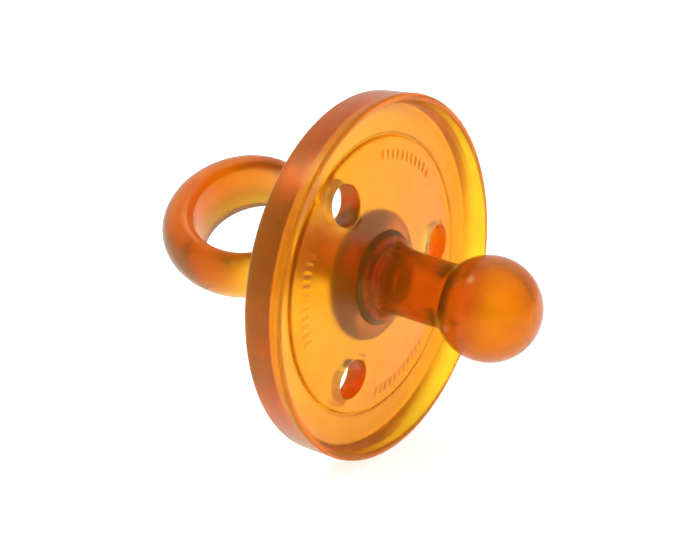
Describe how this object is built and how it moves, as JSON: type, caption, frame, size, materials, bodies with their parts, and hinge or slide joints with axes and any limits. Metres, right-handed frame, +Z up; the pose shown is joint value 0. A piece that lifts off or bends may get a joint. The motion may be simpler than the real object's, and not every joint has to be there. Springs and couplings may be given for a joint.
{
  "type": "pacifier",
  "caption": "Natural-rubber soother: round domed shield with vent holes, hollow round teat on a flared collar, and a soft ring handle.",
  "frame": {"origin": "middle of the whole object's box, which lies on the teat's axis, a few millimetres behind the shield", "axes": "+X runs along the teat's axis from the ring to the bulb, +Z is up, and +Y completes the right-handed frame"},
  "size_m": [0.0567, 0.05, 0.05],
  "materials": {
    "satin_rubber": "translucent honey-coloured natural rubber, moulded satin with a fine grain",
    "gloss_rubber": "translucent orange natural rubber, smooth and glossy",
    "core_rubber": "thick translucent natural rubber, dark amber, smooth"
  },
  "bodies": {
    "shield": {"shield": "satin_rubber", "teat_collar": "gloss_rubber", "stopper": "core_rubber", "ring_foot": "satin_rubber"},
    "teat": {"teat": "gloss_rubber"},
    "ring_handle": {"ring_handle": "satin_rubber"}
  },
  "joints": [
    {"name": "teat_bend", "type": "hinge", "parent": "shield", "child": "teat", "pos_m": [0.0068, 0, 0], "axis": [0, 1, 0], "range_deg": [-23.8, 16.2], "stiffness_Nm_per_rad": 0.02},
    {"name": "ring_fold", "type": "hinge", "parent": "shield", "child": "ring_handle", "pos_m": [-0.00212, -0.00089, 0.0015], "axis": [0, 0.8607, 0.509], "range_deg": [-46.7, 23.3], "stiffness_Nm_per_rad": 0.03}
  ]
}
